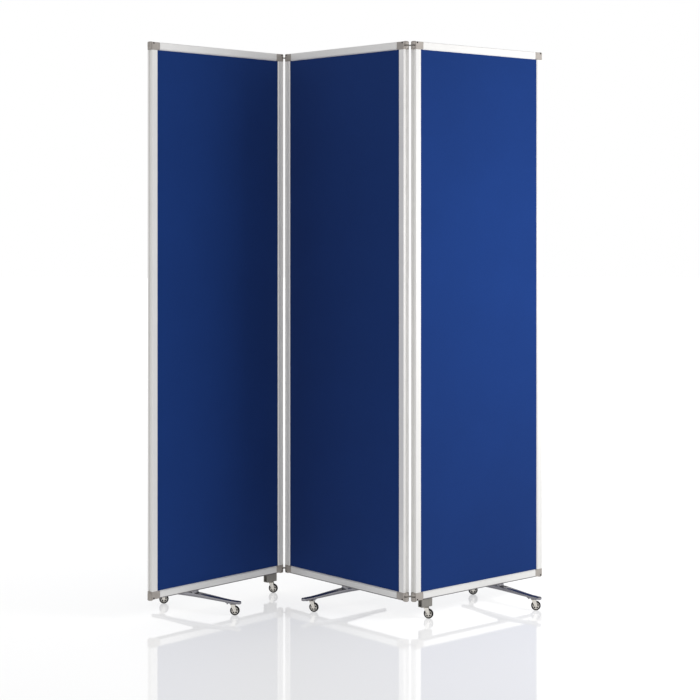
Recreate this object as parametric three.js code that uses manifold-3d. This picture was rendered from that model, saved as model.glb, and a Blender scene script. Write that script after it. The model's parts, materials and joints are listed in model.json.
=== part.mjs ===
// Three-leaf folding privacy screen on castors, in millimetres, +Z up.
// +X runs to the viewer's right and +Y away from the viewer. The origin is on the floor,
// under the middle of the screen as it stands half folded, like a letter Z seen from above.
import * as THREE from 'three';
import { mergeVertices } from 'three/addons/utils/BufferGeometryUtils.js';
import Module from 'manifold-3d';

const wasm = await Module();
wasm.setup();

// Clearances and one overrun for every cut
const seatGap = 0.3; // between pieces that rest on or in each other
const slotGap = 0.5; // round a link that turns inside its slot
const overrun = 2; // how far a cutting body runs past what it cuts

// Leaf: a board in a frame of four extrusions and four corner pieces
const leafWidth = 600;
const leafHeight = 1800;
const railGround = 65; // floor to the underside of the bottom rails
const leafTurn = { left: 46.8, middle: -48.9, right: 40.9 }; // plan angle of each leaf, degrees

// Frame extrusion
const frameDepth = 24; // front to rear
const frameFace = 25; // outer edge to the felt
const edgeBevel = 1.5; // outer long edges
const lipBevel = 3.1; // slope from the face down to the felt
const boardSlotDepth = 8;
const grooveWidth = 7; // groove along the outer edge
const grooveDepth = 2.5;
const tubeWall = 2;
const tubeSideWall = 2.3;

// Board with felt on both faces
const boardDepth = 16;

// Corner piece
const cornerLength = 33; // along the rail
const cornerHeight = frameFace;
const cornerBevel = 0.8;
const tenonLength = 20;
const barrelRadius = 9.5;
const barrelDrop = { bottom: 4, top: 1.2 }; // how far the hinge barrel stands past the rail
const barrelTipRadius = 6.8;
const barrelTaper = 2.4;
const barrelTopRadius = 3.2;
const barrelTopTaper = 7;
const recessRadius = 2.2;
const recessDepth = 7;
const recessOffset = 7; // from the end of the leaf
const recessHeight = 3; // from the outer edge

// Hinge: a flat link with a pin at each end
const pinSpacing = 26;
const pinInset = 2.5; // pin axis from the end of the leaf
const pinRadius = 2.5;
const pinTipInset = 1;
const pinInnerReach = 9;
const linkThickness = 4;
const linkRadius = 4.5;
const reverseFold = 45; // how far a link turns past straight, degrees

// Foot
const footHalfLength = 188;
const footMiddleWidth = 23;
const footEndWidth = 17;
const footMiddleDepth = 16.3;
const footEndDepth = 10.3;
const footArch = 2.4; // rise of the underside from the ends to the middle
const footMiddleFlat = 15;
const footEndFlat = 44;
const footEdgeBevel = 2.2;
const riserRadius = 10;
const padLength = 46;
const padWidth = 13;
const padDepth = 1.3;
const nubRadius = 2.4;
const nubHeight = 4.5;
const nubOffset = 17.5; // inboard of the castor
const footPlace = { left: -101, middle: 1, right: 106 }; // along the leaf from its middle
const footTurn = { left: 9, middle: 0, right: -2 }; // each foot as it was clamped, degrees
const outerSide = { left: 'left', right: 'right' }; // the side of an outer leaf without a hinge

// Castor block under the hinge end of an outer leaf
const blockLength = 46;
const blockWidth = 20;
const blockBevel = 1.2;
const blockEndInset = 30; // from the hinge end of the leaf
const pocketDepth = 9;
const pocketWall = 3.2;

// Castor
const castorHeight = 38; // floor to the face that the castor is fixed to
const castorInset = 38; // stem from the end of the foot
const castorReach = footHalfLength - castorInset;
const footEndBottom = castorHeight + padDepth;
const footEndTop = footEndBottom + footEndDepth;
const footMiddleBottom = footEndBottom + footArch;
const footMiddleTop = footMiddleBottom + footMiddleDepth;
const wheelRadius = 15.75;
const tyreWidth = 9;
const tyreShoulder = 2;
const hubRadius = 11.2;
const hubWidth = 9.6;
const hubWebWidth = 7;
const hubBossRadius = 4;
const hubHoleRadius = 2.6;
const hubHoleCount = 5;
const axleRadius = 1.8;
const axleHeadRadius = 3;
const axleHeadHeight = 0.9;
const trail = 11; // axle behind the stem
const forkSheet = 1.6;
const forkGap = 0.4; // each side of the hub
const forkFront = 3.6; // crown before and behind the stem
const forkRear = 12;
const forkCrown = 2.4;
const forkEndRadius = 4.6;
const cheekTilt = 30; // the cheek's straight edges meet its round end this far round, degrees
const stemRadius = 3;
const stemLength = 7;
// Plan direction in which each wheel trails, degrees
const castorHeading = {
  left: { front: -4, rear: 6, block: -12 },
  middle: { front: -16 },
  right: { front: -8, rear: 4, block: -14 },
};

// Numbers of sides
const barrelSides = 14;
const wheelSides = 20;
const pinSides = 8;
const riserSides = 12;
const smallSides = 6;
const arcSteps = 5;

const degree = Math.PI / 180;
const quarterTurn = Math.PI / 2;
const halfTurn = Math.PI;
const halfLeaf = leafWidth / 2;
const halfDepth = frameDepth / 2;
const pinPlace = halfLeaf - pinInset;
const slotHalfDepth = boardDepth / 2 + seatGap;
const slotFloor = frameFace - boardSlotDepth;

const finish = {
  aluminium: { color: 0xd4d4d2, roughness: 0.38, metalness: 0.85 },
  corner: { color: 0x96918a, roughness: 0.6, metalness: 0 },
  felt: { color: 0x1f3f7c, roughness: 0.95, metalness: 0 },
  link: { color: 0x26262a, roughness: 0.5, metalness: 0.4 },
  polished: { color: 0xb9b9c0, roughness: 0.16, metalness: 1 },
  block: { color: 0x8f8d88, roughness: 0.55, metalness: 0 },
  fork: { color: 0xcfcbc2, roughness: 0.24, metalness: 1 },
  hub: { color: 0xc9c7c0, roughness: 0.45, metalness: 0 },
  tyre: { color: 0x1b1b1c, roughness: 0.7, metalness: 0 },
};

function toSolid(geometry) {
  const bare = geometry.clone();
  bare.deleteAttribute('normal');
  bare.deleteAttribute('uv');
  const welded = mergeVertices(bare);
  return new wasm.Manifold(new wasm.Mesh({
    numProp: 3,
    vertProperties: Float32Array.from(welded.attributes.position.array),
    triVerts: Uint32Array.from(welded.index.array),
  }));
}

function toGeometry(solid) {
  const { vertProperties, triVerts } = solid.getMesh();
  const geometry = new THREE.BufferGeometry();
  geometry.setAttribute('position', new THREE.BufferAttribute(vertProperties, 3));
  geometry.setIndex(new THREE.BufferAttribute(triVerts, 1));
  geometry.computeVertexNormals();
  return geometry;
}

function piece(name, geometry, look) {
  const mesh = new THREE.Mesh(geometry, new THREE.MeshStandardMaterial(finish[look]));
  mesh.name = name;
  return mesh;
}

// A box given by its lowest and highest corners
function block(low, high) {
  const size = high.map((value, axis) => value - low[axis]);
  const middle = high.map((value, axis) => (value + low[axis]) / 2);
  return new THREE.BoxGeometry(...size).translate(...middle);
}

// A solid with its round axis along Z, from pairs of radius and height
function turned(profile, sides) {
  const points = profile.map(([radius, height]) => new THREE.Vector2(radius, height));
  return new THREE.LatheGeometry(points, sides).rotateX(quarterTurn);
}

function rod(radius, low, high, sides) {
  return turned([[0, low], [radius, low], [radius, high], [0, high]], sides);
}

// A polygon bore that stays clear of a round pin between its corners
function boreRadius(radius, sides) {
  return (radius + seatGap) / Math.cos(halfTurn / sides);
}

function outline(points) {
  return new THREE.Shape(points.map(([x, y]) => new THREE.Vector2(x, y)));
}

// An outline in X and Z, pushed out evenly to both sides along Y
function plate(shape, thickness, bevel) {
  return new THREE.ExtrudeGeometry(shape, {
    depth: thickness - 2 * bevel,
    bevelEnabled: bevel > 0,
    bevelThickness: bevel,
    bevelSize: bevel,
    bevelOffset: -bevel,
    bevelSegments: 1,
    curveSegments: arcSteps,
  }).translate(0, 0, bevel - thickness / 2).rotateX(quarterTurn);
}

// Section of the hollow extrusion: x from the outer edge inwards, y through the leaf
function frameSection() {
  const half = [
    [0, grooveWidth / 2],
    [0, halfDepth - edgeBevel],
    [edgeBevel, halfDepth],
    [frameFace - lipBevel, halfDepth],
    [frameFace, halfDepth - lipBevel],
    [frameFace, slotHalfDepth],
    [slotFloor, slotHalfDepth],
  ];
  const mirrored = half.map(([x, y]) => [x, -y]).reverse();
  const section = outline([
    [grooveDepth, grooveWidth / 2], ...half, ...mirrored, [grooveDepth, -grooveWidth / 2],
  ]);
  const low = grooveDepth + tubeWall;
  const high = slotFloor - tubeWall;
  const side = halfDepth - tubeSideWall;
  section.holes.push(new THREE.Path(
    [[low, -side], [high, -side], [high, side], [low, side]].map(([x, y]) => new THREE.Vector2(x, y)),
  ));
  return section;
}

function extrusion(length) {
  return new THREE.ExtrudeGeometry(frameSection(), { depth: length, bevelEnabled: false });
}

// Plan of the slot that a link turns in, with the pin's axis at x = pinInset: it is open on the
// side to which the leaves fold, and the other side is cut only as far as the reverse fold needs
function linkSlot(fold) {
  const turn = reverseFold * degree;
  const clear = linkRadius + slotGap;
  const inner = pinInset + clear;
  const beyond = halfDepth + overrun;
  const outer = -barrelRadius - overrun;
  return outline([
    [outer, fold * beyond],
    [inner, fold * beyond],
    [inner, fold * clear * (Math.sin(turn) - 1) / Math.cos(turn)],
    [pinInset + (clear - beyond * Math.cos(turn)) / Math.sin(turn), -fold * beyond],
    [outer, -fold * beyond],
  ]);
}

// The corner piece stands with its outer end at x = 0 and its outer edge at z = 0.
// Fold is the side, 1 or -1 along y, to which a hinge there folds, or 0 without a hinge.
function cornerPiece(drop, fold) {
  const tenonLow = grooveDepth + tubeWall + seatGap;
  const tenonHigh = slotFloor - tubeWall - seatGap;
  const tenonSide = halfDepth - tubeSideWall - seatGap;
  const slotMiddle = cornerHeight / 2;
  const slotHeight = linkThickness + 2 * seatGap;
  const body = outline([[0, 0], [cornerLength, 0], [cornerLength, cornerHeight], [0, cornerHeight]]);
  const barrel = turned([
    [0, -drop],
    [barrelTipRadius, -drop],
    [barrelRadius, barrelTaper - drop],
    [barrelRadius, cornerHeight - barrelTopTaper],
    [barrelTopRadius, cornerHeight - cornerBevel],
    [0, cornerHeight - cornerBevel],
  ], barrelSides).translate(pinInset, 0, 0);
  const boreTop = slotMiddle + pinInnerReach + seatGap;
  const bore = rod(boreRadius(pinRadius, pinSides), -drop - overrun, boreTop, pinSides);
  const boardSlot = block(
    [slotFloor, -slotHalfDepth, slotFloor],
    [cornerLength + overrun, slotHalfDepth, cornerHeight + overrun],
  );
  let solid = toSolid(plate(body, frameDepth, cornerBevel))
    .add(toSolid(barrel))
    .subtract(toSolid(boardSlot))
    .subtract(toSolid(bore.translate(pinInset, 0, 0)));
  if (fold) {
    const slot = new THREE.ExtrudeGeometry(linkSlot(fold), { depth: slotHeight, bevelEnabled: false });
    solid = solid.subtract(toSolid(slot.translate(0, 0, slotMiddle - slotHeight / 2)));
  }
  // The lip slope runs on over the part of the corner piece beside the rail
  for (const side of [-1, 1]) {
    const slope = outline([
      [cornerHeight - lipBevel, side * halfDepth],
      [cornerHeight, side * (halfDepth - lipBevel)],
      [cornerHeight + overrun, side * (halfDepth - lipBevel)],
      [cornerHeight + overrun, side * (halfDepth + overrun)],
      [cornerHeight - lipBevel, side * (halfDepth + overrun)],
    ]);
    const length = cornerLength + overrun - frameFace;
    const cut = new THREE.ExtrudeGeometry(slope, { depth: length, bevelEnabled: false })
      .rotateY(-quarterTurn)
      .translate(cornerLength + overrun, 0, 0);
    const recessLength = recessDepth + overrun;
    const recess = new THREE.CylinderGeometry(recessRadius, recessRadius, recessLength, pinSides)
      .translate(recessOffset, side * (halfDepth + (overrun - recessDepth) / 2), recessHeight);
    solid = solid.subtract(toSolid(cut)).subtract(toSolid(recess));
  }
  const tenonUp = block(
    [tenonLow, -tenonSide, cornerHeight - overrun],
    [tenonHigh, tenonSide, cornerHeight + tenonLength],
  );
  const tenonAlong = block(
    [cornerLength - overrun, -tenonSide, tenonLow],
    [cornerLength + tenonLength, tenonSide, tenonHigh],
  );
  return toGeometry(solid.add(toSolid(tenonUp)).add(toSolid(tenonAlong)));
}

// A flat link with its first pin axis at x = 0; both pins reach through to the barrel's open end
function hingeLink(drop) {
  const body = new THREE.Shape();
  body.absarc(0, 0, linkRadius, quarterTurn, quarterTurn + halfTurn);
  body.absarc(pinSpacing, 0, linkRadius, -quarterTurn, quarterTurn);
  const flat = new THREE.ExtrudeGeometry(body, {
    depth: linkThickness,
    bevelEnabled: false,
    curveSegments: arcSteps,
  }).translate(0, 0, -linkThickness / 2);
  const outerReach = cornerHeight / 2 + drop - pinTipInset;
  let solid = toSolid(flat);
  for (const place of [0, pinSpacing]) {
    solid = solid.add(toSolid(rod(pinRadius, -outerReach, pinInnerReach, pinSides).translate(place, 0, 0)));
  }
  return toGeometry(solid);
}

function board() {
  const width = leafWidth - 2 * (slotFloor + seatGap);
  const height = leafHeight - 2 * (slotFloor + seatGap);
  return new THREE.BoxGeometry(width, boardDepth, height);
}

// The foot is what its plan and its side view have in common, with its long edges bevelled.
// The ends that carry a castor, 1 or -1 along y, have a pad and a nub below.
function foot(castorEnds) {
  const endRadius = footEndWidth / 2;
  const shoulder = footHalfLength - endRadius;
  const plan = new THREE.Shape();
  plan.moveTo(footMiddleWidth / 2, -footMiddleFlat);
  plan.lineTo(footMiddleWidth / 2, footMiddleFlat);
  plan.absarc(0, shoulder, endRadius, 0, halfTurn);
  plan.lineTo(-footMiddleWidth / 2, footMiddleFlat);
  plan.lineTo(-footMiddleWidth / 2, -footMiddleFlat);
  plan.absarc(0, -shoulder, endRadius, halfTurn, 2 * halfTurn);
  const seenAbove = new THREE.ExtrudeGeometry(plan, {
    depth: footMiddleTop,
    bevelEnabled: false,
    curveSegments: arcSteps,
  });
  const flatEnd = footHalfLength - footEndFlat;
  const side = (shift) => outline([
    [-footHalfLength, footEndBottom + shift],
    [-flatEnd, footEndBottom + shift],
    [-footMiddleFlat, footMiddleBottom + shift],
    [footMiddleFlat, footMiddleBottom + shift],
    [flatEnd, footEndBottom + shift],
    [footHalfLength, footEndBottom + shift],
    [footHalfLength, footEndTop - shift],
    [flatEnd, footEndTop - shift],
    [footMiddleFlat, footMiddleTop - shift],
    [-footMiddleFlat, footMiddleTop - shift],
    [-flatEnd, footEndTop - shift],
    [-footHalfLength, footEndTop - shift],
  ]);
  // Full height over the narrowed plan, and the full plan over a lowered height
  const across = (shift, width) => toSolid(plate(side(shift), width, 0).rotateZ(quarterTurn));
  const narrow = (footMiddleWidth - 2 * footEdgeBevel) / footMiddleWidth;
  const planSolid = toSolid(seenAbove);
  const crown = planSolid.scale([narrow, 1, 1]).intersect(across(0, footMiddleWidth));
  const flank = planSolid.intersect(across(footEdgeBevel, footMiddleWidth));
  let solid = crown.add(flank);
  const riser = rod(riserRadius, footMiddleBottom + footEdgeBevel, railGround - seatGap, riserSides);
  solid = solid.add(toSolid(riser));
  for (const end of castorEnds) {
    const seat = end * castorReach;
    const pad = block(
      [-padWidth / 2, seat - padLength / 2, castorHeight],
      [padWidth / 2, seat + padLength / 2, footEndBottom + footEdgeBevel],
    );
    const nubPlace = end * (castorReach - nubOffset);
    const nub = rod(nubRadius, castorHeight - nubHeight, footEndBottom + footEdgeBevel, smallSides);
    solid = solid
      .add(toSolid(pad))
      .add(toSolid(nub.translate(0, nubPlace, 0)))
      .subtract(toSolid(stemSocket().translate(0, seat, 0)));
  }
  return toGeometry(solid);
}

// Blind hole for a castor stem, open at the bottom
function stemSocket() {
  const radius = boreRadius(stemRadius, pinSides);
  return rod(radius, castorHeight - overrun, castorHeight + stemLength, pinSides);
}

function castorBlock() {
  const top = railGround - seatGap;
  const face = outline([
    [-blockLength / 2, castorHeight],
    [blockLength / 2, castorHeight],
    [blockLength / 2, top],
    [-blockLength / 2, top],
  ]);
  let solid = toSolid(plate(face, blockWidth, blockBevel));
  const pocketSide = blockWidth / 2 - pocketWall;
  for (const end of [-1, 1]) {
    const ends = [end * (blockLength / 2 - pocketDepth), end * (blockLength / 2 + overrun)];
    const pocket = block(
      [Math.min(...ends), -pocketSide, castorHeight + pocketWall],
      [Math.max(...ends), pocketSide, top - pocketWall],
    );
    solid = solid.subtract(toSolid(pocket));
  }
  return toGeometry(solid.subtract(toSolid(stemSocket())));
}

// Sheet fork with its stem and axle; the stem's axis is at x = 0 and the wheel trails along +x
function fork() {
  const crownTop = castorHeight - seatGap;
  const inner = hubWidth / 2 + forkGap;
  const outer = inner + forkSheet;
  const cheek = new THREE.Shape();
  cheek.moveTo(-forkFront, crownTop);
  cheek.lineTo(-forkFront, crownTop - forkCrown);
  const tilt = cheekTilt * degree;
  cheek.absarc(trail, wheelRadius, forkEndRadius, halfTurn + tilt, 2 * halfTurn + tilt);
  cheek.lineTo(forkRear, crownTop - forkCrown);
  cheek.lineTo(forkRear, crownTop);
  let solid = toSolid(block([-forkFront, -outer, crownTop - forkCrown], [forkRear, outer, crownTop]));
  for (const side of [-1, 1]) {
    const sheet = plate(cheek, forkSheet, 0).translate(0, side * (inner + forkSheet / 2), 0);
    const head = new THREE.CylinderGeometry(
      axleHeadRadius, axleHeadRadius, axleHeadHeight + forkSheet, smallSides,
    ).translate(trail, side * (outer + (axleHeadHeight - forkSheet) / 2), wheelRadius);
    solid = solid.add(toSolid(sheet)).add(toSolid(head));
  }
  const axleLength = 2 * outer + axleHeadHeight;
  const axle = new THREE.CylinderGeometry(axleRadius, axleRadius, axleLength, pinSides)
    .translate(trail, 0, wheelRadius);
  const stem = rod(stemRadius, crownTop - forkCrown / 2, castorHeight + stemLength - seatGap, pinSides);
  return toGeometry(solid.add(toSolid(axle)).add(toSolid(stem)));
}

// Wheel pieces turn about Y, with a flat of each polygon at the bottom
function wheelRing(profile) {
  const points = profile.map(([radius, side]) => new THREE.Vector2(radius, side));
  return new THREE.LatheGeometry(points, wheelSides, halfTurn / wheelSides);
}

function hub() {
  const boss = hubWidth / 2;
  const web = hubWebWidth / 2;
  const bore = boreRadius(axleRadius, wheelSides);
  let solid = toSolid(wheelRing([
    [bore, -boss],
    [hubBossRadius, -boss],
    [hubBossRadius, -web],
    [hubRadius, -web],
    [hubRadius, web],
    [hubBossRadius, web],
    [hubBossRadius, boss],
    [bore, boss],
    [bore, -boss],
  ]));
  const holePlace = (hubBossRadius + hubRadius) / 2;
  for (let index = 0; index < hubHoleCount; index += 1) {
    const angle = (index / hubHoleCount) * 2 * halfTurn;
    const hole = new THREE.CylinderGeometry(hubHoleRadius, hubHoleRadius, hubWidth, smallSides)
      .translate(holePlace * Math.cos(angle), 0, holePlace * Math.sin(angle));
    solid = solid.subtract(toSolid(hole));
  }
  return toGeometry(solid);
}

function tyre() {
  const tread = wheelRadius / Math.cos(halfTurn / wheelSides);
  const side = tyreWidth / 2;
  const inner = hubRadius + seatGap;
  return wheelRing([
    [inner, -side],
    [tread - tyreShoulder, -side],
    [tread, tyreShoulder - side],
    [tread, side - tyreShoulder],
    [tread - tyreShoulder, side],
    [inner, side],
    [inner, -side],
  ]);
}

const linkShapes = {};
const cornerShapes = {};
for (const [end, drop] of Object.entries(barrelDrop)) {
  linkShapes[end] = hingeLink(drop);
  cornerShapes[end] = [-1, 0, 1].map((fold) => cornerPiece(drop, fold));
}

const shared = {
  stile: extrusion(leafHeight - 2 * (cornerHeight + seatGap)),
  rail: extrusion(leafWidth - 2 * (cornerLength + seatGap)),
  board: board(),
  pairedFoot: foot([-1, 1]),
  singleFoot: foot([-1]),
  block: castorBlock(),
  fork: fork(),
  hub: hub(),
  tyre: tyre(),
};

// A castor at a place in a leaf or foot; turn is the plan angle of what carries it
function addCastor(parent, name, x, y, heading, turn) {
  const castor = new THREE.Group();
  castor.position.set(x, y, 0);
  castor.rotation.z = (heading - turn) * degree;
  castor.add(piece(`${name}_fork`, shared.fork, 'fork'));
  for (const part of ['hub', 'tyre']) {
    const wheelPart = piece(`${name}_${part}`, shared[part], part);
    wheelPart.position.set(trail, 0, wheelRadius);
    castor.add(wheelPart);
  }
  parent.add(castor);
}

// The outer leaves fold to opposite faces of the middle one, and top corner pieces are turned over
function foldSide(name, end, side) {
  if (side === outerSide[name]) return 0;
  return (name === 'middle' ? -1 : 1) * (end === 'bottom' ? 1 : -1);
}

function addFrame(leaf, name) {
  const top = railGround + leafHeight;
  const cornerTop = cornerHeight + seatGap;
  const railStart = halfLeaf - cornerLength - seatGap;
  const leftStile = piece(`${name}_left_stile`, shared.stile, 'aluminium');
  leftStile.position.set(-halfLeaf, 0, railGround + cornerTop);
  const rightStile = piece(`${name}_right_stile`, shared.stile, 'aluminium');
  rightStile.position.set(halfLeaf, 0, railGround + cornerTop);
  rightStile.rotation.z = halfTurn;
  const bottomRail = piece(`${name}_bottom_rail`, shared.rail, 'aluminium');
  bottomRail.rotation.y = -quarterTurn;
  bottomRail.position.set(railStart, 0, railGround);
  const topRail = piece(`${name}_top_rail`, shared.rail, 'aluminium');
  topRail.rotation.y = quarterTurn;
  topRail.position.set(-railStart, 0, top);
  leaf.add(leftStile, rightStile, bottomRail, topRail);
  const corners = {
    bottom_left: [-halfLeaf, railGround, 'z', 0],
    bottom_right: [halfLeaf, railGround, 'z', halfTurn],
    top_left: [-halfLeaf, top, 'x', halfTurn],
    top_right: [halfLeaf, top, 'y', halfTurn],
  };
  for (const [place, [x, z, axis, turn]] of Object.entries(corners)) {
    const [end, side] = place.split('_');
    const shape = cornerShapes[end][1 + foldSide(name, end, side)];
    const corner = piece(`${name}_${place}_corner`, shape, 'corner');
    corner.position.set(x, 0, z);
    corner.rotation[axis] = turn;
    leaf.add(corner);
  }
}

function addFoot(leaf, name) {
  const turn = footTurn[name];
  const carrier = new THREE.Group();
  carrier.position.set(footPlace[name], 0, 0);
  carrier.rotation.z = turn * degree;
  const headings = castorHeading[name];
  const shape = 'rear' in headings ? shared.pairedFoot : shared.singleFoot;
  carrier.add(piece(`${name}_foot`, shape, 'polished'));
  for (const [end, side] of [['front', -1], ['rear', 1]]) {
    if (!(end in headings)) continue;
    addCastor(carrier, `${name}_${end}`, 0, side * castorReach, headings[end], leafTurn[name] + turn);
  }
  leaf.add(carrier);
}

function addBlock(leaf, name, hingeSide) {
  const x = hingeSide * (halfLeaf - blockEndInset - blockLength / 2);
  const castorBlockMesh = piece(`${name}_castor_block`, shared.block, 'block');
  castorBlockMesh.position.x = x;
  leaf.add(castorBlockMesh);
  addCastor(leaf, `${name}_block`, x, 0, castorHeading[name].block, leafTurn[name]);
}

function makeLeaf(name, centre) {
  const leaf = new THREE.Group();
  leaf.position.set(centre.x, centre.y, 0);
  leaf.rotation.z = leafTurn[name] * degree;
  addFrame(leaf, name);
  const panel = piece(`${name}_board`, shared.board, 'felt');
  panel.position.z = railGround + leafHeight / 2;
  leaf.add(panel);
  addFoot(leaf, name);
  return leaf;
}

// Both links of a hinge, at the height of the slots in the corner pieces
function addLinks(screen, name, pin, turn) {
  const bottom = piece(`${name}_bottom_link`, linkShapes.bottom, 'link');
  bottom.position.set(pin.x, pin.y, railGround + cornerHeight / 2);
  bottom.rotation.z = turn;
  const top = piece(`${name}_top_link`, linkShapes.top, 'link');
  top.position.set(pin.x, pin.y, railGround + leafHeight - cornerHeight / 2);
  top.rotation.set(halfTurn, 0, -turn); // turned over, so its plan angle counts the other way
  screen.add(bottom, top);
}

function direction(turn) {
  return new THREE.Vector2(Math.cos(turn), Math.sin(turn));
}

// The middle leaf stands first, then each hinge's link halves the fold and carries an outer leaf
function makeScreen() {
  const screen = new THREE.Group();
  const along = (name) => direction(leafTurn[name] * degree);
  const middle = new THREE.Vector2();
  screen.add(makeLeaf('middle', middle));
  const hinges = [['hinge_1', 'left', -1], ['hinge_2', 'right', 1]];
  for (const [hinge, name, side] of hinges) {
    const linkTurn = (leafTurn.middle + leafTurn[name]) / 2 * degree;
    const nearPin = middle.clone().addScaledVector(along('middle'), side * pinPlace);
    const farPin = nearPin.clone().addScaledVector(direction(linkTurn), side * pinSpacing);
    const centre = farPin.clone().addScaledVector(along(name), side * pinPlace);
    const leaf = makeLeaf(name, centre);
    addBlock(leaf, name, -side);
    screen.add(leaf);
    addLinks(screen, hinge, nearPin, side > 0 ? linkTurn : linkTurn + halfTurn);
  }
  return screen;
}

// The origin goes under the middle of the screen's bounding box
function centred(screen) {
  const box = new THREE.Box3().setFromObject(screen, true);
  const centre = box.getCenter(new THREE.Vector3());
  screen.position.set(-centre.x, -centre.y, -box.min.z);
  screen.updateMatrixWorld(true);
  return screen;
}

export default centred(makeScreen());
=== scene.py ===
import json
import math

import bmesh
import bpy
import numpy as np
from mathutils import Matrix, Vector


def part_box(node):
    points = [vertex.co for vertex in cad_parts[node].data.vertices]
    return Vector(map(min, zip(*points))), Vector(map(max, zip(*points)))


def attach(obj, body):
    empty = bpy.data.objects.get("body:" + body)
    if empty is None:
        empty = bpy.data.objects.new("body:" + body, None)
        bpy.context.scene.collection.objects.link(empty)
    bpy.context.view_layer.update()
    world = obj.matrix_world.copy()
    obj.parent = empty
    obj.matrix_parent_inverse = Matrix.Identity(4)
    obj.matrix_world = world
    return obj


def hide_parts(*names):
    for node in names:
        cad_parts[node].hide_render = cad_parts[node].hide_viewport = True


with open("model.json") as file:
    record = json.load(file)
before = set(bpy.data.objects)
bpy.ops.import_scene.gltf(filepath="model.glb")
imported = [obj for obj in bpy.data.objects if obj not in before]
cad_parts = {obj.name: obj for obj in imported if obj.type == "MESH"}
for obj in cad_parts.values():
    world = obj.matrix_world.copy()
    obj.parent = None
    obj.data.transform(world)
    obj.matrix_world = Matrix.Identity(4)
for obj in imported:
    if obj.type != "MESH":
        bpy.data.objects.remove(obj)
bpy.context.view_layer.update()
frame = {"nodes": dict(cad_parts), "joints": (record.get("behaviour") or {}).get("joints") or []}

nodes = frame["nodes"]
joints = {joint["name"]: joint for joint in frame["joints"]}
leafNames = ["left", "middle", "right"]
print("frame loaded:", len(nodes), "solids")

# Camera: level, as the photograph was taken, with its shift for the photograph's framing

camera = {
    "place": (-0.0579, -5.7603, 1.304),
    "lens": 88.4,
    "sensor": 36,
    "shift": (0.0261, -0.1919),
}


def makeCamera(values):
    data = bpy.data.cameras.new("camera")
    data.lens = values["lens"]
    data.sensor_width = values["sensor"]
    data.shift_x, data.shift_y = values["shift"]
    holder = bpy.data.objects.new("camera", data)
    holder.location = values["place"]
    holder.rotation_euler = (math.pi / 2, 0, 0)
    bpy.context.scene.collection.objects.link(holder)
    bpy.context.scene.camera = holder


makeCamera(camera)
bpy.context.scene.view_settings.view_transform = "Standard"

# Shapes: each is an array of points in millimetres with its faces, built round its own origin


def gridFaces(rows, columns, closedRows):
    # Quads between neighbours of a grid whose columns close on themselves
    row = np.arange(rows if closedRows else rows - 1)
    row, column = np.meshgrid(row, np.arange(columns), indexing="ij")
    nextRow, nextColumn = (row + 1) % rows, (column + 1) % columns
    corners = [
        row * columns + column,
        row * columns + nextColumn,
        nextRow * columns + nextColumn,
        nextRow * columns + column,
    ]
    return np.stack(corners, -1).reshape(-1, 4)


def gridShape(points, closedRows=False):
    # points is rows x columns x 3
    rows, columns = points.shape[:2]
    faces = gridFaces(rows, columns, closedRows)
    return points.reshape(-1, 3), [tuple(face) for face in faces.tolist()]


def softened(corners, radii, steps=6):
    # A polyline whose inner corners are replaced by arcs of the given radii, tangent to both
    # sides; a point of an arc is its centre plus the arms to its start and its end, each weighted
    # by the sine of the angle that is left to the other one, over the sine of the whole angle
    corners = np.asarray(corners, float)
    made = [corners[:1]]
    for before, corner, after, radius in zip(corners, corners[1:], corners[2:], radii):
        toBefore = (before - corner) / np.linalg.norm(before - corner)
        toAfter = (after - corner) / np.linalg.norm(after - corner)
        half = math.acos(np.clip(toBefore @ toAfter, -1, 1)) / 2
        middle = (toBefore + toAfter) / np.linalg.norm(toBefore + toAfter)
        centre = corner + middle * radius / math.sin(half)
        start = corner + toBefore * radius / math.tan(half) - centre
        end = corner + toAfter * radius / math.tan(half) - centre
        share = np.linspace(0, 1, steps + 1)[:, None]
        spread = math.pi - 2 * half
        arc = np.sin((1 - share) * spread) * start + np.sin(share * spread) * end
        made.append(centre + arc / math.sin(spread))
    made.append(corners[-1:])
    return np.concatenate(made)


def turned(profile, sides, closed=False):
    # Each profile point (radius, height) carried round the Z axis
    profile = np.asarray(profile, float)
    angle = np.arange(sides) / sides * 2 * math.pi
    radius, height = profile[:, :1], profile[:, 1:]
    points = [radius * np.cos(angle), radius * np.sin(angle), height + 0 * angle]
    return gridShape(np.stack(points, -1), closed)


def cylinder(radius, low, high, sides):
    return turned([(0, low), (radius, low), (radius, high), (0, high)], sides)


def prism(outline, low, high):
    # A plan outline carried straight up from low to high
    count = len(outline)
    rings = [np.column_stack([outline, np.full(count, z)]) for z in (low, high)]
    sides = [(i, (i + 1) % count, count + (i + 1) % count, count + i) for i in range(count)]
    lids = [tuple(range(count)), tuple(range(2 * count - 1, count - 1, -1))]
    return np.concatenate(rings), sides + lids


def cuboid(low, high):
    low, high = np.asarray(low, float), np.asarray(high, float)
    share = np.array([[x, y, z] for z in (0, 1) for x, y in ((0, 0), (1, 0), (1, 1), (0, 1))])
    faces = [(3, 2, 1, 0), (4, 5, 6, 7), (0, 1, 5, 4), (1, 2, 6, 5), (2, 3, 7, 6), (3, 0, 4, 7)]
    return low + share * (high - low), faces


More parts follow.
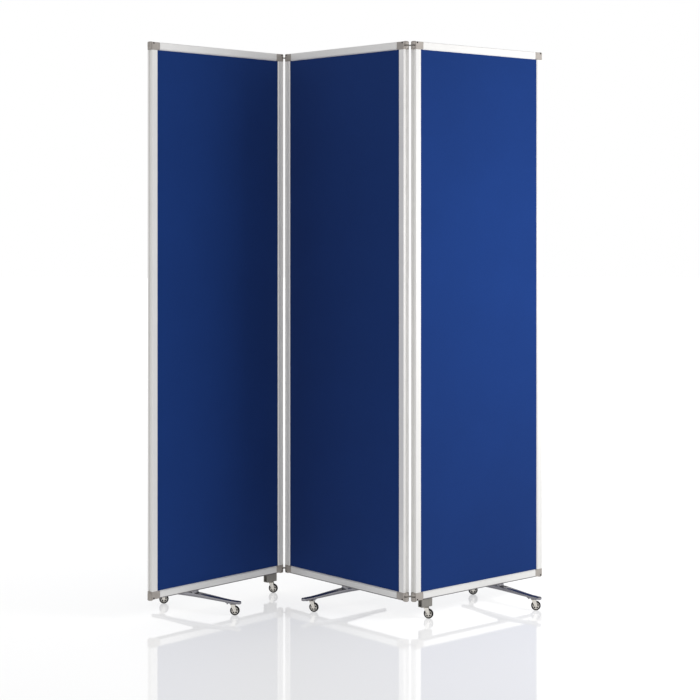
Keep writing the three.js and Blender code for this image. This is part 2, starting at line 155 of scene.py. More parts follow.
def slab(sizeX, sizeY, low, high, cornerRadius, edgeRadius, steps=5):
    # Rounded rectangle: point = centre of the corner arc + (corner radius - inset) x direction,
    # where the inset and the height follow a quarter circle at the lower and the upper edge
    quarter = np.linspace(0, math.pi / 2, steps + 1)
    angle = (quarter + np.arange(4)[:, None] * math.pi / 2).ravel()
    direction = np.stack([np.cos(angle), np.sin(angle)], -1)
    corner = np.repeat([[1, 1], [-1, 1], [-1, -1], [1, -1]], steps + 1, axis=0)
    centre = corner * (np.array([sizeX, sizeY]) / 2 - cornerRadius)
    inset = edgeRadius * (1 - np.sin(quarter))
    rise = edgeRadius * (1 - np.cos(quarter))
    insets = np.concatenate([inset, inset[::-1]])
    heights = np.concatenate([low + rise, high - rise[::-1]])
    plan = centre + (cornerRadius - insets[:, None, None]) * direction
    level = np.broadcast_to(heights[:, None, None], plan.shape[:2] + (1,))
    rings = np.concatenate([plan, level], -1)
    caps = np.zeros((1, len(angle), 3))
    rings = np.concatenate([caps + [0, 0, low], rings, caps + [0, 0, high]])
    return gridShape(rings)


def moved(shape, shift=(0, 0, 0), turn=None):
    # turn is a 3 x 3 matrix whose rows are the images of X, Y and Z
    points, faces = shape
    if turn is not None:
        points = points @ np.asarray(turn, float)
    return points + np.asarray(shift, float), faces


alongX = [(0, 0, 1), (0, 1, 0), (1, 0, 0)]  # a shape's own Z laid along X
alongY = [(0, 0, 1), (1, 0, 0), (0, 1, 0)]  # and along Y


def cleanMesh(shape, name):
    # Poles and seams closed, faces outwards
    mesh = bpy.data.meshes.new(name)
    mesh.from_pydata(shape[0].tolist(), [], shape[1])
    work = bmesh.new()
    work.from_mesh(mesh)
    bmesh.ops.remove_doubles(work, verts=work.verts, dist=1e-5)
    bmesh.ops.recalc_face_normals(work, faces=work.faces)
    work.to_mesh(mesh)
    work.free()
    return mesh


def scratchObject(shape):
    thing = bpy.data.objects.new("scratch", cleanMesh(shape, "scratch"))
    bpy.context.scene.collection.objects.link(thing)
    return thing


def finished(thing):
    # The shape that an object's modifiers make of it
    graph = bpy.context.evaluated_depsgraph_get()
    mesh = bpy.data.meshes.new_from_object(thing.evaluated_get(graph))
    points = np.zeros(len(mesh.vertices) * 3)
    mesh.vertices.foreach_get("co", points)
    faces = [tuple(polygon.vertices) for polygon in mesh.polygons]
    bpy.data.meshes.remove(mesh)
    return points.reshape(-1, 3), faces


def worked(base, joins=(), cuts=()):
    # Base with the joins added and then the cuts taken away
    thing = scratchObject(base)
    helpers = []
    for operation, shapes in (("UNION", joins), ("DIFFERENCE", cuts)):
        for shape in shapes:
            helper = scratchObject(shape)
            helpers.append(helper)
            change = thing.modifiers.new(operation, "BOOLEAN")
            change.operation = operation
            change.solver = "EXACT"
            change.object = helper
    shape = finished(thing)
    for used in [thing, *helpers]:
        bpy.data.objects.remove(used)
    return shape


# Places read from the record, so that every new piece lies where its solid lies


def leafPlace(leaf):
    # Middle of the leaf on the floor, its direction to the viewer's right and its rear.
    # The direction runs from the leaf's left pin, or its middle, to its middle or its right pin.
    middle = np.mean(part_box(leaf + "_board"), axis=0)
    ends = {
        "left": (middle, joints["hinge_1_left_pin"]["pos_m"]),
        "middle": (joints["hinge_1_middle_pin"]["pos_m"], joints["hinge_2_middle_pin"]["pos_m"]),
        "right": (joints["hinge_2_right_pin"]["pos_m"], middle),
    }
    along = np.subtract(ends[leaf][1], ends[leaf][0])
    along[2] = middle[2] = 0
    along /= np.linalg.norm(along)
    return middle, along, np.array([-along[1], along[0], 0])


def castorPlace(name):
    # The stem's axis on the floor, the direction in which the wheel trails, and the side
    swivel = np.array(joints[name + "_swivel"]["pos_m"], float)
    axle = np.array(joints[name + "_roll"]["pos_m"], float)
    along = axle - swivel
    along[2] = swivel[2] = 0
    along /= np.linalg.norm(along)
    return swivel, along, np.array([-along[1], along[0], 0])


def castorNames():
    return [name[: -len("_swivel")] for name in joints if name.endswith("_swivel")]


def makePiece(name, shape, place, body, stands, finish, smoothAngle=40, pits=None):
    # place is the origin, the direction of the shape's X and that of its Y; millimetres become
    # metres. stands names the nodes that the piece stands for. pits is a second finish and a test
    # that tells which face centres, in millimetres, take it.
    origin, along, across = place
    axes = np.stack([along, across, np.cross(along, across)])
    points = shape[0] * 0.001 @ axes + origin
    mesh = cleanMesh((points * 1000, shape[1]), name)
    coordinates = np.zeros(len(mesh.vertices) * 3)
    mesh.vertices.foreach_get("co", coordinates)
    mesh.vertices.foreach_set("co", coordinates * 0.001)
    mesh.shade_smooth()
    mesh.set_sharp_from_angle(angle=math.radians(smoothAngle))
    mesh.materials.append(finish)
    # Painted shade: the faces that the test picks take the second, near-black finish
    if pits:
        mesh.materials.append(pits[0])
        centres = np.zeros(len(mesh.polygons) * 3)
        mesh.polygons.foreach_get("center", centres)
        own = (centres.reshape(-1, 3) - origin) * 1000 @ axes.T
        mesh.polygons.foreach_set("material_index", pits[1](own).astype(np.int32))
    thing = bpy.data.objects.new(name, mesh)
    bpy.context.scene.collection.objects.link(thing)
    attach(thing, body)
    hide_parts(*stands)


# Shader maths


class Signal:
    # The output of a node; arithmetic on it adds Math nodes
    def __init__(self, tree, socket):
        self.tree, self.socket = tree, socket

    def math(self, operation, *values):
        return self.tree.node("Math", {"operation": operation}, dict(enumerate(values)))

    def __add__(self, other):
        return self.math("ADD", self, other)

    def __sub__(self, other):
        return self.math("SUBTRACT", self, other)

    def __mul__(self, other):
        return self.math("MULTIPLY", self, other)

    def __rsub__(self, other):
        return self.math("SUBTRACT", other, self)

    __radd__ = __add__
    __rmul__ = __mul__


class Tree:
    # A material's or the world's nodes
    def __init__(self, owner):
        owner.use_nodes = True
        self.nodes, self.links = owner.node_tree.nodes, owner.node_tree.links

    def feed(self, socket, value):
        if isinstance(value, Signal):
            self.links.new(value.socket, socket)
        else:
            socket.default_value = value

    def node(self, kind, settings=None, values=None, output=0):
        made = self.nodes.new("ShaderNode" + kind)
        for name, value in (settings or {}).items():
            setattr(made, name, value)
        for name, value in (values or {}).items():
            self.feed(made.inputs[name], value)
        return Signal(self, made.outputs[output])

    def where(self, stretch=(1, 1, 1), turn=0):
        # Object coordinates, turned about Z and then stretched
        place = self.node("TexCoord", output="Object")
        if turn:
            place = self.node("Mapping", {}, {"Vector": place, "Rotation": (0, 0, -turn)})
        return self.node("VectorMath", {"operation": "MULTIPLY"}, {0: place, 1: stretch})

    def noise(self, place, scale, detail=3, roughness=0.5):
        values = {"Vector": place, "Scale": scale, "Detail": detail, "Roughness": roughness}
        return self.node("TexNoise", {}, values)

    def ramp(self, value, low, high, start=0.0, end=1.0):
        settings = {"clamp": True, "interpolation_type": "SMOOTHSTEP"}
        values = {"Value": value, "From Min": low, "From Max": high}
        return self.node("MapRange", settings, {**values, "To Min": start, "To Max": end})

    def blend(self, share, first, second):
        settings = {"data_type": "RGBA", "clamp_factor": True}
        values = {0: share, 6: first, 7: second}
        return self.node("Mix", settings, values, output=2)

    def bump(self, height, strength, distance):
        values = {"Height": height, "Strength": strength, "Distance": distance}
        return self.node("Bump", {}, values)


def tone(red, green, blue):
    # A colour given in 0 to 255 as linear light
    share = np.array([red, green, blue]) / 255
    linear = np.where(share <= 0.04045, share / 12.92, ((share + 0.055) / 1.055) ** 2.4)
    return (*linear.tolist(), 1.0)


def makeFinish(name, constants, varying):
    # varying(tree) gives what changes over the surface; constants are set on the shader itself
    material = bpy.data.materials.new(name)
    tree = Tree(material)
    shader = tree.nodes["Principled BSDF"]
    for socket, value in constants.items():
        shader.inputs[socket].default_value = value
    for socket, value in varying(tree).items():
        tree.feed(shader.inputs[socket], value)
    return material


# Aluminium extrusions: satin anodised, with faint die lines along their length

aluminium = {
    "light": tone(246, 245, 243),
    "dark": tone(230, 229, 227),
    "roughness": 0.42,
    "metallic": 0.28,
    "lines": 900,
    "lineDepth": 0.00002,
    # Painted shade along the lower edge of the bottom rails: its tone and the heights it spans
    "paintedShade": tone(112, 110, 112),
    "paintedShadeHeights": (0.0674, 0.069),
}


def aluminiumFinish(name, values, stretch, turn):
    # A bottom rail has painted shade along its lower edge, fully up to the first height in metres
    # and not at all above the second. It is a painted tone only: the shape is plain there.
    def varying(tree):
        lines = tree.noise(tree.where(stretch, turn), values["lines"], 2)
        haze = tree.noise(tree.where(), 9, 4, 0.6)
        height = tree.node("SeparateXYZ", {}, {"Vector": tree.where()}, output="Z")
        shade = tree.ramp(height, *values["paintedShadeHeights"], 1.0, 0.0)
        face = tree.blend(haze * 0.7 + lines * 0.3, values["dark"], values["light"])
        return {
            "Base Color": tree.blend(shade, face, values["paintedShade"]),
            "Roughness": haze * 0.12 + lines * 0.1 + (values["roughness"] - 0.11),
            "Normal": tree.bump(lines, 0.25, values["lineDepth"]),
        }

    return makeFinish(name, {"Metallic": values["metallic"]}, varying)


stileFinish = aluminiumFinish("stile aluminium", aluminium, (1, 1, 0.004), 0)
for leafName in leafNames:
    leafAlong = leafPlace(leafName)[1]
    leafTurn = math.atan2(leafAlong[1], leafAlong[0])
    railFinish = aluminiumFinish(leafName + " rail aluminium", aluminium, (0.004, 1, 1), leafTurn)
    for part, partFinish in (
        ("left_stile", stileFinish),
        ("right_stile", stileFinish),
        ("top_rail", railFinish),
        ("bottom_rail", railFinish),
    ):
        nodes[f"{leafName}_{part}"].data.materials[0] = partFinish
print("extrusions finished")

# Felt on the boards: short matted wool fibres

felt = {
    "light": tone(19, 55, 121),
    "dark": tone(11, 42, 98),
    "fibres": 1300,
    "clumps": 190,
    "drift": 5,
    "specular": 0.04,
    "sheen": 0.065,
    "sheenRoughness": 0.6,
}


def feltFinish(values):
    def varying(tree):
        place = tree.where()
        fibres = tree.noise(tree.where((1, 1, 0.45)), values["fibres"], 6, 0.7)
        clumps = tree.noise(place, values["clumps"], 5, 0.65)
        drift = tree.noise(place, values["drift"], 3, 0.5)
        shade = fibres * 0.5 + clumps * 0.6 + drift * 0.35 - 0.225
        return {
            "Base Color": tree.blend(shade, values["dark"], values["light"]),
            "Roughness": fibres * 0.1 + 0.88,
            "Normal": tree.bump(fibres * 0.6 + clumps * 0.8, 0.5, 0.0006),
        }

    constants = {
        "Specular IOR Level": values["specular"],
        "Sheen Weight": values["sheen"],
        "Sheen Roughness": values["sheenRoughness"],
    }
    return makeFinish("blue felt", constants, varying)


boardFinish = feltFinish(felt)
for leafName in leafNames:
    nodes[leafName + "_board"].data.materials[0] = boardFinish
print("felt finished")

# Moulded grey plastic with a fine grain


def plasticFinish(name, light, dark, roughness, grain=2200):
    def varying(tree):
        place = tree.where()
        speck = tree.noise(place, grain, 3, 0.6)
        cloud = tree.noise(place, 45, 4, 0.6)
        return {
            "Base Color": tree.blend(speck * 0.3 + cloud * 0.7, dark, light),
            "Roughness": cloud * 0.14 + speck * 0.08 + (roughness - 0.11),
            "Normal": tree.bump(speck, 0.35, 0.00008),
        }

    return makeFinish(name, {}, varying)


# Light tone, dark tone and roughness of each
plastics = {
    "corner plastic": (tone(190, 183, 176), tone(140, 134, 129), 0.45),
    "block plastic": (tone(150, 147, 141), tone(120, 117, 112), 0.5),
    "hub plastic": (tone(232, 229, 222), tone(200, 197, 190), 0.42),
    "hinge link": (tone(150, 146, 140), tone(118, 115, 110), 0.5),
    # Near black: painted shade deep inside the corner pieces' recesses and the hubs' pockets
    "painted shade in a recess": (tone(34, 33, 32), tone(16, 16, 16), 0.55),
}
cornerFinish, blockFinish, hubFinish, linkFinish, paintedPitShade = [
    plasticFinish(name, *look) for name, look in plastics.items()
]
for hingeName in ("hinge_1", "hinge_2"):
    for end in ("top", "bottom"):
        nodes[f"{hingeName}_{end}_link"].data.materials[0] = linkFinish


# Bright metal: plated feet and zinc forks


def metalFinish(name, light, dark, roughness, scratch=0.05):
    def varying(tree):
        place = tree.where()
        smear = tree.noise(place, 30, 4, 0.6)
        fine = tree.noise(tree.where((1, 1, 3)), 700, 3, 0.6)
        return {
            "Base Color": tree.blend(smear * 0.8 + fine * 0.2, dark, light),
            "Roughness": smear * scratch + fine * scratch + (roughness - scratch),
            "Normal": tree.bump(fine, 0.1, 0.00002),
        }

    return makeFinish(name, {"Metallic": 1.0}, varying)


chromeFinish = metalFinish("bright plated steel", tone(168, 167, 172), tone(140, 139, 145), 0.26)
zincFinish = metalFinish("zinc plated sheet", tone(244, 240, 232), tone(222, 218, 209), 0.28)


# Black rubber, a little greyer with dust

rubberTones = {"clean": tone(15, 15, 16), "dusty": tone(30, 29, 28)}


def rubberFinish(values):
    def varying(tree):
        place = tree.where()
        dust = tree.noise(place, 160, 5, 0.7)
        fine = tree.noise(place, 1800, 3, 0.6)
        share = tree.ramp(dust, 0.35, 0.75)
        return {
            "Base Color": tree.blend(share, values["clean"], values["dusty"]),
            "Roughness": dust * 0.2 + fine * 0.1 + 0.5,
            "Normal": tree.bump(fine, 0.4, 0.00006),
        }

    return makeFinish("black rubber", {"Specular IOR Level": 0.3}, varying)


rubber = rubberFinish(rubberTones)
print("finishes made")

# Corner piece: its outer end at x = 0 and its outer edge at z = 0, millimetres

corner = {
    "length": 33,
    "height": 25,
    "depth": 24,
    "edge": 1.4,
    "pinPlace": 2.5,
    "barrelRadius": 9.4,
    "barrelDrop": {"bottom": 4, "top": 1.2},
    "slotHalf": 2.3,
    "slotClear": 5,
    "reverseFold": 45,
    "slotFloor": 17,
    "boardHalf": 8.3,
    "lip": 3.1,
    "barrelFoot": 6.8,
    "barrelFootRise": 2.4,
    "barrelShoulder": 17,
    "barrelCap": (4, 24.4),
    "barrelRounds": (1, 2.2, 6, 2.4),
    "bore": 2.8,
    "boreTop": 21.8,
    "recessPlace": (7, 3.3),
    "recessRadius": 2.2,
    "recessMouth": 2.9,
    "recessDepth": 7,
    "tenonSection": (4.8, 14.7, 9.4),
    "tenonLength": 20,
    "tenonRoot": 2,
}
leafEdges = {"halfWidth": 0.3, "bottom": 0.065, "top": 1.865}  # metres
outerSide = {"left": "left", "middle": None, "right": "right"}


def lipCut(values, side):
    # A wedge that takes the lip's slope off the part of the corner piece beside the rail
    height, half, lip, past = values["height"], values["depth"] / 2, values["lip"], 2
    section = np.array([
        (height - lip, half), (height, half - lip), (height + past, half - lip),
        (height + past, half + past), (height - lip, half + past),
    ])
    plan = np.column_stack([section[:, 0], side * section[:, 1]])
    return moved(prism(plan, height, values["length"] + past), turn=alongX)


def linkSlot(values, fold):
    # Open on the side to which the leaves fold; on the other side its wall stands off the link
    # by the same clearance when the link is turned past straight by the reverse fold
    turn = math.radians(values["reverseFold"])
    clear, pin = values["slotClear"], values["pinPlace"]
    beyond, outer = values["depth"] / 2 + 2, -values["barrelRadius"] - 4
    plan = [
        (outer, fold * beyond),
        (pin + clear, fold * beyond),
        (pin + clear, fold * clear * (math.sin(turn) - 1) / math.cos(turn)),
        (pin + (clear - beyond * math.cos(turn)) / math.sin(turn), -fold * beyond),
        (outer, -fold * beyond),
    ]
    middle, half = values["height"] / 2, values["slotHalf"]
    return prism(np.array(plan), middle - half, middle + half)


def cornerShape(values, drop, fold):
    # fold is the side, 1 or -1 along y, to which a hinge there folds, or 0 without a hinge
    length, height, half = values["length"], values["height"], values["depth"] / 2
    body = slab(length, height, -half, half, values["edge"], values["edge"])
    body = moved(body, (length / 2, 0, height / 2), [(1, 0, 0), (0, 0, 1), (0, -1, 0)])
    radius, pin = values["barrelRadius"], (values["pinPlace"], 0, 0)
    shoulder, (cap, capTop) = values["barrelShoulder"], values["barrelCap"]
    barrel = [
        (0, -drop), (values["barrelFoot"], -drop), (radius, values["barrelFootRise"] - drop),
        (radius, shoulder), (cap, capTop), (0, capTop),
    ]
    low, high, side = values["tenonSection"]
    reach, root = values["tenonLength"], values["tenonRoot"]
    joins = [moved(turned(softened(barrel, values["barrelRounds"]), 56), pin)]
    tenons = [
        cuboid((low, -side, height - root), (high, side, height + reach)),
        cuboid((length - root, -side, low), (length + reach, side, high)),
    ]
    floor, boardHalf, past = values["slotFloor"], values["boardHalf"], 2
    cuts = [
        cuboid((floor, -boardHalf, floor), (length + 1, boardHalf, height + 1)),
        moved(cylinder(values["bore"], -drop - past, values["boreTop"], 32), pin),
    ]
    if fold:
        cuts.append(linkSlot(values, fold))
    place, up = values["recessPlace"]
    inner, mouth, deep = values["recessRadius"], values["recessMouth"], -values["recessDepth"]
    countersunk = [
        (0, deep), (inner, deep), (inner, inner - mouth), (mouth, 0), (mouth, past), (0, past),
    ]
    pit = turned(countersunk, 32)
    for side in (-1, 1):
        cuts.append(lipCut(values, side))
        outwards = [(1, 0, 0), (0, 0, -side), (0, side, 0)]
        cuts.append(moved(pit, (place, side * half, up), outwards))
    return worked(worked(body, joins, cuts), tenons)


def cornerPit(points):
    # Faces inside either countersunk recess, short of the faces that it opens in: they take
    # painted shade
    place, up = corner["recessPlace"]
    near = np.hypot(points[:, 0] - place, points[:, 2] - up) < corner["recessMouth"] + 0.05
    return near & (np.abs(points[:, 1]) < corner["depth"] / 2 - 0.1)


cornerSolids = {
    (end, fold): cornerShape(corner, drop, fold)
    for end, drop in corner["barrelDrop"].items()
    for fold in (-1, 0, 1)
}
for leafName in leafNames:
    middle, along, rear = leafPlace(leafName)
    for end, up in (("bottom", 1), ("top", -1)):
        for sideName, side in (("left", 1), ("right", -1)):
            hingeFold = -1 if leafName == "middle" else 1
            fold = 0 if sideName == outerSide[leafName] else hingeFold
            points, faces = cornerSolids[end, fold]
            height = np.array([0, 0, leafEdges[end]])
            outerEnd = middle - along * side * leafEdges["halfWidth"] + height
            nodeName = f"{leafName}_{end}_{sideName}_corner"
            makePiece(nodeName + "_piece", (points * (1, 1, up), faces),
                      (outerEnd, along * side, rear * side), leafName + "_leaf",
                      [nodeName], cornerFinish,
                      pits=(paintedPitShade, lambda points, up=up: cornerPit(points * (1, 1, up))))
print("corner pieces made")

# Foot: a plated casting across the leaf, its length along Y, highest and widest in the middle

foot = {
    "halfLength": 188,
    "middleWidth": 23,
    "endWidth": 17,
    "middleTop": 58,
    "middleBottom": 41.7,
    "endTop": 49.6,
    "endBottom": 39.3,
    "middleFlat": 15,
    "endFlat": 44,
    "squareness": 3.4,
    "tipRound": 5,
    "riserRadius": 10,
    "riserFoot": 48,
    "riserTop": 64.7,
    "collarRim": 1.3,
    "collarHeights": (50, 59.4),
    "padLength": 46,
    "padWidth": 13,
    "castorReach": 150,
    "castorHeight": 38,
    "nubPlace": 132.5,
    "nubRadius": 2.4,
    "nubHeight": 4.5,
    "nubTop": 44,
    "socketRadius": 3.5,
    "socketTop": 45,
}


def footShape(values, castorEnds):
    # Section at distance t from the middle: a superellipse whose half width, half height and
    # centre pass smoothly from the middle's to the end's; at the tip the width follows a circle
    # and the height a quarter ellipse
    length, flat = values["halfLength"], values["middleFlat"]
    endFlat = length - values["endFlat"]
    inner = np.linspace(-1, 1, 81) * (length - values["endWidth"])
    tip = length - values["endWidth"] * (1 - np.sin(np.linspace(0, math.pi / 2, 22)[1:]))
    t = np.concatenate([-tip[::-1], inner, tip])
    away = np.clip((np.abs(t) - flat) / (endFlat - flat), 0, 1)
    ease = away * away * (3 - 2 * away) * 0.35 + away * 0.65

    def between(middle, end):
        return values[middle] + (values[end] - values[middle]) * ease

    width = between("middleWidth", "endWidth") / 2
    tipRadius = values["endWidth"] / 2
    past = np.clip((np.abs(t) - (length - tipRadius)) / tipRadius, 0, 1)
    width = width * np.sqrt(np.clip(1 - past**2, 0, 1))
    top, bottom = between("middleTop", "endTop"), between("middleBottom", "endBottom")
    pastEdge = np.clip((np.abs(t) - (length - values["tipRound"])) / values["tipRound"], 0, 1)
    height = (top - bottom) / 2 * (1 - (1 - np.sqrt(np.clip(1 - pastEdge**2, 0, 1))) * 0.75)
    centre = (top + bottom) / 2
    angle = np.linspace(0, 1, 57)[:-1] * 2 * math.pi
    power = 2 / values["squareness"]
    across = np.sign(np.cos(angle)) * np.abs(np.cos(angle)) ** power
    upward = np.sign(np.sin(angle)) * np.abs(np.sin(angle)) ** power
    x, y = width[:, None] * across, t[:, None] + 0 * angle
    points = np.stack([x, y, centre[:, None] + height[:, None] * upward], -1)
    ends = [np.broadcast_to(points[i].mean(0), (1,) + points[i].shape) for i in (0, -1)]
    beam = gridShape(np.concatenate([ends[0], points, ends[1]]))
    radius, low, top = values["riserRadius"], values["riserFoot"], values["riserTop"]
    riser = softened([(0, low), (radius, low), (radius, top), (0, top)], [0.01, 0.8])
    rim, (low, top) = radius + values["collarRim"], values["collarHeights"]
    collar = softened([(0, low), (rim, low), (rim, top), (0, top)], [0.01, 0.9])
    radius, top = values["nubRadius"], values["nubTop"]
    low = values["castorHeight"] - values["nubHeight"]
    nub = turned(softened([(0, low), (radius, low), (radius, top), (0, top)], [0.7, 0.01]), 24)
    pad = slab(values["padWidth"], values["padLength"], values["castorHeight"],
               values["endBottom"] + 2.5, 4, 0.8)
    socket = cylinder(values["socketRadius"], 30, values["socketTop"], 32)
    joins = [turned(riser, 56), turned(collar, 56)]
    cuts = []
    for end in castorEnds:
        joins.append(moved(pad, (0, end * values["castorReach"], 0)))
        joins.append(moved(nub, (0, end * values["nubPlace"], 0)))
        cuts.append(moved(socket, (0, end * values["castorReach"], 0)))
    return worked(beam, joins, cuts)


footSolids = {ends: footShape(foot, ends) for ends in ((-1,), (-1, 1))}
for leafName in leafNames:
    ends = (-1, 1) if leafName + "_rear_swivel" in joints else (-1,)
    front = castorPlace(leafName + "_front")[0]
    middle = np.mean(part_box(leafName + "_foot"), axis=0) * (1, 1, 0)
    across = (middle - front) / np.linalg.norm(middle - front)
    along = np.array([across[1], -across[0], 0])
    centre = front + across * foot["castorReach"] * 0.001
    makePiece(leafName + "_foot_casting", footSolids[ends], (centre, along, across),
              leafName + "_leaf", [leafName + "_foot"], chromeFinish, 32)
print("feet made")

# Castor block under the hinge end of an outer leaf

castorBlock = {
    "length": 46,
    "width": 20,
    "low": 38,
    "high": 64.7,
    "edge": 1.6,
    "pocketDepth": 9,
    "pocketWall": 3.2,
    "socketRadius": 3.5,
    "socketDepth": 7.2,
}


def blockShape(values):
    low, high, length, width = values["low"], values["high"], values["length"], values["width"]
    middle, wall = (low + high) / 2, values["pocketWall"]
    body = slab(length, width, low, high, values["edge"], values["edge"])
    cuts = [cylinder(values["socketRadius"], low - 3, low + values["socketDepth"], 32)]
    for end in (-1, 1):
        pocket = slab(width - 2 * wall, high - low - 2 * wall, -values["pocketDepth"], 3, 2, 0.4)
        turn = [(0, 1, 0), (0, 0, 1), (end, 0, 0)]
        cuts.append(moved(pocket, (end * length / 2, 0, middle), turn))
    return worked(body, [], cuts)


blockSolid = blockShape(castorBlock)
for leafName in ("left", "right"):
    along, rear = leafPlace(leafName)[1:]
    origin = castorPlace(leafName + "_block")[0]
    makePiece(leafName + "_castor_block_moulding", blockSolid, (origin, along, rear),
              leafName + "_leaf", [leafName + "_castor_block"], blockFinish)
print("castor blocks made")

# Castor: the stem's axis at x = 0, the axle at x = trail, wheel parts round Y

castor = {
    "trail": 11,
    "wheelRadius": 15.75,
    "tyreWidth": 9,
    "tyreBevel": (1.5, 2.2),
    "tyreRounds": (0.6, 1.4, 1.8, 1.8, 1.4, 0.6),
    "hubRadius": 11.2,
    "hubWidth": 9.6,
    "webWidth": 4.6,
    "rimWidth": 8.6,
    "rimInner": 9.9,
    "bossRadius": 4,
    "hubRounds": (0.4, 0.6, 0.5, 0.5, 0.4, 0.4),
    "bore": 2.1,
    "holes": 5,
    "holeRadius": 2.6,
    "pocketFloor": 0.4,
    "sheet": 1.6,
    "gap": 0.4,
    "front": 3.6,
    "rear": 12,
    "top": 37.7,
    "endRadius": 4.6,
    "bend": 3,
    "axleRadius": 1.8,
    "headRadius": 3,
    "raceRadii": (4.6, 5.6),
    "raceDepth": 2.6,
    "stemRadius": 3,
    "stemTop": 44.7,
}


def tyreShape(values):
    inner, outer, half = values["hubRadius"] + 0.3, values["wheelRadius"], values["tyreWidth"] / 2
    inward, down = values["tyreBevel"]
    loop = [
        (inner, 0), (inner, -half), (outer - inward, -half), (outer, -half + down),
        (outer, half - down), (outer - inward, half), (inner, half), (inner, 0),
    ]
    profile = softened(loop, values["tyreRounds"])[:-1]
    return moved(turned(profile, 72, closed=True), turn=alongY)


def pocketPlaces(values):
    # Centres of the hub's pockets on their circle between the boss and the rim
    circle = (values["bossRadius"] + values["rimInner"]) / 2 + 0.3
    angle = np.arange(values["holes"]) / values["holes"] * 2 * math.pi
    return circle * np.column_stack([np.cos(angle), np.sin(angle)])


def hubPocket(points):
    # Inside any pocket of the hub, whose own Z is laid along Y: its X there is the wheel's Z
    # The faces found here take the painted shade of the pockets
    flat = np.column_stack([points[:, 2], points[:, 0]])
    away = flat[:, None, :] - pocketPlaces(castor)[None, :, :]
    near = (np.hypot(away[..., 0], away[..., 1]) < castor["holeRadius"] + 0.05).any(axis=1)
    return near & (np.abs(points[:, 1]) < castor["webWidth"] / 2 - 0.05)


def hubShape(values):
    radius, boss, rim = values["hubRadius"], values["bossRadius"], values["rimInner"]
    tall, wide, web = values["hubWidth"] / 2, values["rimWidth"] / 2, values["webWidth"] / 2
    bore = values["bore"]
    side = [
        (bore, 0), (bore, tall), (boss, tall), (boss + 0.4, web),
        (rim, web), (rim + 0.3, wide), (radius, wide), (radius, 0),
    ]
    upper = softened(side, values["hubRounds"], 4)
    lower = (upper * (1, -1))[::-1]
    body = turned(np.concatenate([upper, lower[1:-1]]), 72, closed=True)
    floor, hole = values["pocketFloor"], values["holeRadius"]
    pockets = [cylinder(hole, -6, -floor, 28), cylinder(hole, floor, 6, 28)]
    cuts = [moved(pocket, (*place, 0)) for place in pocketPlaces(values) for pocket in pockets]
    return moved(worked(body, [], cuts), turn=alongY)


def forkShape(values):
    # A sheet bent to a U over the wheel: the path runs up one cheek, round a bend, over the crown
    # and down again, and at each point the sheet reaches from its front edge to its rear edge
    sheet, top, trail = values["sheet"], values["top"], values["trail"]
    side = values["hubWidth"] / 2 + values["gap"] + sheet / 2
    axle, endRadius = values["wheelRadius"], values["endRadius"]
    crown = top - sheet / 2
    shoulder = crown - values["bend"]
    under = endRadius * np.sin(np.linspace(-math.pi / 2, 0, 12))
    cheek = np.concatenate([axle + under, np.linspace(axle, shoulder, 16)[1:]])
    turn = np.linspace(0, math.pi / 2, 8)[1:]
    bendY = side - values["bend"] * (1 - np.cos(turn))
    bendZ = shoulder + values["bend"] * np.sin(turn)
    over = np.linspace(bendY[-1], 0, 5)[1:]
    y = np.concatenate([np.full(len(cheek), side), bendY, over])
    z = np.concatenate([cheek, bendZ, np.full(len(over), crown)])
    # Edges: a half circle under the axle, then straight up to the crown's width
    spread = np.clip((z - axle) / (shoulder - axle), 0, 1)
    circle = np.sqrt(np.clip(endRadius**2 - np.clip(axle - z, 0, endRadius) ** 2, 0, None))
    frontEdge = trail - circle - (values["front"] + trail - endRadius) * spread
    rearEdge = trail + circle + (values["rear"] - trail - endRadius) * spread
    y = np.concatenate([y, -y[-2::-1]])
    z = np.concatenate([z, z[-2::-1]])
    frontEdge = np.concatenate([frontEdge, frontEdge[-2::-1]])
    rearEdge = np.concatenate([rearEdge, rearEdge[-2::-1]])
    share = np.linspace(0, 1, 17)
    x = frontEdge[:, None] + (rearEdge - frontEdge)[:, None] * share
    points = np.stack([x, *(np.broadcast_to(line[:, None], x.shape) for line in (y, z))], -1)
    index = np.arange(x.size).reshape(x.shape)
    quads = np.stack([index[:-1, :-1], index[:-1, 1:], index[1:, 1:], index[1:, :-1]], -1)
    faces = [tuple(quad) for quad in quads.reshape(-1, 4).tolist()]
    thing = scratchObject((points.reshape(-1, 3), faces))
    wall = thing.modifiers.new("wall", "SOLIDIFY")
    wall.thickness, wall.offset, wall.use_even_offset = sheet, 0, True
    bent = finished(thing)
    bpy.data.objects.remove(thing)
    outer = side + sheet / 2
    radius = values["headRadius"]
    head = turned(softened([(0, -0.6), (radius, -0.6), (radius, 0.9), (0, 0.9)], [0.01, 0.8]), 32)
    rod = cylinder(values["axleRadius"], -outer - 0.3, outer + 0.3, 28)
    joins = [
        moved(head, (trail, end * outer, axle), [(1, 0, 0), (0, 0, -end), (0, end, 0)])
        for end in (-1, 1)
    ]
    joins.append(moved(rod, (trail, 0, axle), alongY))
    low, (small, large) = crown - values["raceDepth"], values["raceRadii"]
    race = softened([(0, low), (small, low), (large, crown), (0, crown)], [0.8, 0.01])
    radius, tip = values["stemRadius"], values["stemTop"]
    stem = softened([(0, crown), (radius, crown), (radius, tip), (0, tip)], [0.01, 0.6])
    return worked(bent, [*joins, turned(race, 40), turned(stem, 32)])


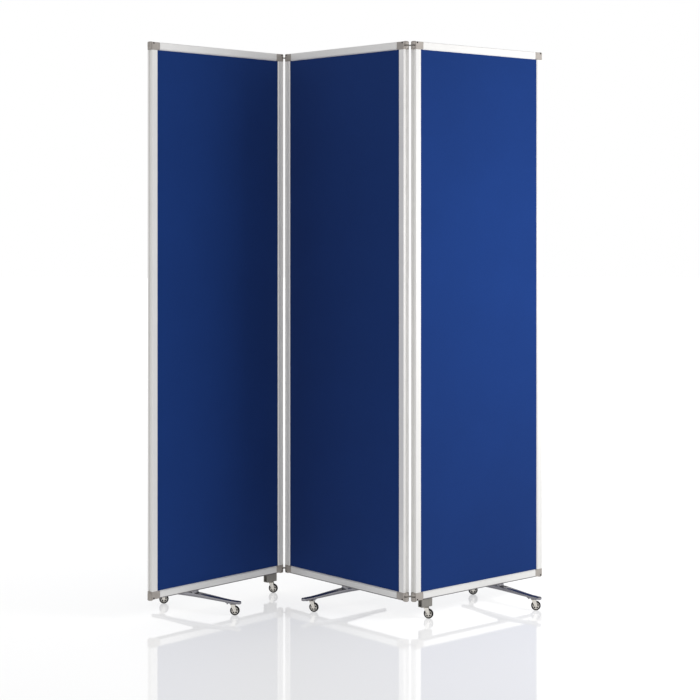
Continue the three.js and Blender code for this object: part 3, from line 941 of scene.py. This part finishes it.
tyreSolid, hubSolid, forkSolid = tyreShape(castor), hubShape(castor), forkShape(castor)
for name in castorNames():
    origin, along, across = castorPlace(name)
    makePiece(name + "_fork_pressing", forkSolid, (origin, along, across), name + "_fork",
              [name + "_fork"], zincFinish, 35)
    up = np.array([0, 0, castor["wheelRadius"] * 0.001])
    wheel = (origin + along * castor["trail"] * 0.001 + up, along, across)
    makePiece(name + "_hub_moulding", hubSolid, wheel, name + "_wheel",
              [name + "_hub"], hubFinish, pits=(paintedPitShade, hubPocket))
    makePiece(name + "_tyre_moulding", tyreSolid, wheel, name + "_wheel",
              [name + "_tyre"], rubber)
print("castors made")

# Studio: white surroundings, one large soft lamp at the right front, and a glossy white floor

studio = {
    "ambient": 0.65,
    "lampPlace": (1.65, -0.7, 1.25),
    "lampAim": (0.43, 0.0, 1.2),
    "lampSize": 0.8,
    "lampPower": 18.5,
    "mirroredSide": (-0.3, 0.5, 0.85, 1.0),
    "mirroredAbove": (0.3, 0.75, 1.0, 0.15),
    "floorReach": 30,
    "floorTones": (0.49, 0.51),
    "floorRoughness": 0.05,
    "floorIor": 1.52,
    "floorGlow": 0.51,
    "floorGlowLost": 0.4,
}


def makeWorld(values):
    # White to the camera; a little darker to the left and much darker overhead in reflections;
    # one even level for all other light
    world = bpy.data.worlds.new("studio")
    bpy.context.scene.world = world
    tree = Tree(world)
    direct, glossy, through = [
        tree.node("LightPath", output=f"Is {ray} Ray")
        for ray in ("Camera", "Glossy", "Transmission")
    ]
    direction = tree.node("TexCoord", output="Generated")
    side, above = [
        tree.ramp(tree.node("SeparateXYZ", {}, {"Vector": direction}, output=axis), *values[part])
        for axis, part in (("X", "mirroredSide"), ("Z", "mirroredAbove"))
    ]
    seen = tree.node("Background", {}, {"Color": (1, 1, 1, 1), "Strength": 1.0})
    mirrored = tree.node("Background", {}, {"Color": (1, 1, 1, 1), "Strength": side * above})
    plain = tree.node("Background", {}, {"Color": (1, 1, 1, 1), "Strength": values["ambient"]})
    lighting = tree.node("MixShader", {}, {0: glossy, 1: plain, 2: mirrored})
    whole = tree.node("MixShader", {}, {0: direct + through, 1: lighting, 2: seen})
    tree.links.new(whole.socket, tree.nodes["World Output"].inputs["Surface"])


def makeLamp(values):
    data = bpy.data.lights.new("key", "AREA")
    data.shape = "SQUARE"
    data.size = values["lampSize"]
    data.energy = values["lampPower"]
    holder = bpy.data.objects.new("key", data)
    place = np.array(values["lampPlace"])
    aim = np.array(values["lampAim"]) - place
    holder.location = place
    flat = math.hypot(aim[0], aim[1])
    holder.rotation_euler = (math.atan2(flat, -aim[2]), 0, math.atan2(-aim[0], aim[1]))
    holder.visible_glossy = False  # else the floor mirrors the lamp as a bright square
    bpy.context.scene.collection.objects.link(holder)


def makeFloor(values):
    # It glows so that it reads white with a darker base tone; a mirrored view of it loses a share
    def varying(tree):
        haze = tree.noise(tree.where(), 1.3, 3, 0.5)
        dimmed = tree.node("LightPath", output="Is Glossy Ray") * values["floorGlowLost"]
        low, high = [(level, level, level, 1) for level in values["floorTones"]]
        return {
            "Base Color": tree.blend(haze, low, high),
            "Roughness": haze * 0.03 + (values["floorRoughness"] - 0.015),
            "Emission Color": tree.blend(dimmed, (1, 1, 1, 1), (0, 0, 0, 1)),
        }

    reach = float(values["floorReach"])
    points = [(x * reach, y * reach, 0) for x, y in ((-1, -1), (1, -1), (1, 1), (-1, 1))]
    mesh = bpy.data.meshes.new("floor")
    mesh.from_pydata(points, [], [(0, 1, 2, 3)])
    constants = {"IOR": values["floorIor"], "Emission Strength": values["floorGlow"]}
    mesh.materials.append(makeFinish("white floor", constants, varying))
    floor = bpy.data.objects.new("floor", mesh)
    bpy.context.scene.collection.objects.link(floor)


makeWorld(studio)
makeLamp(studio)
makeFloor(studio)
print("studio made")
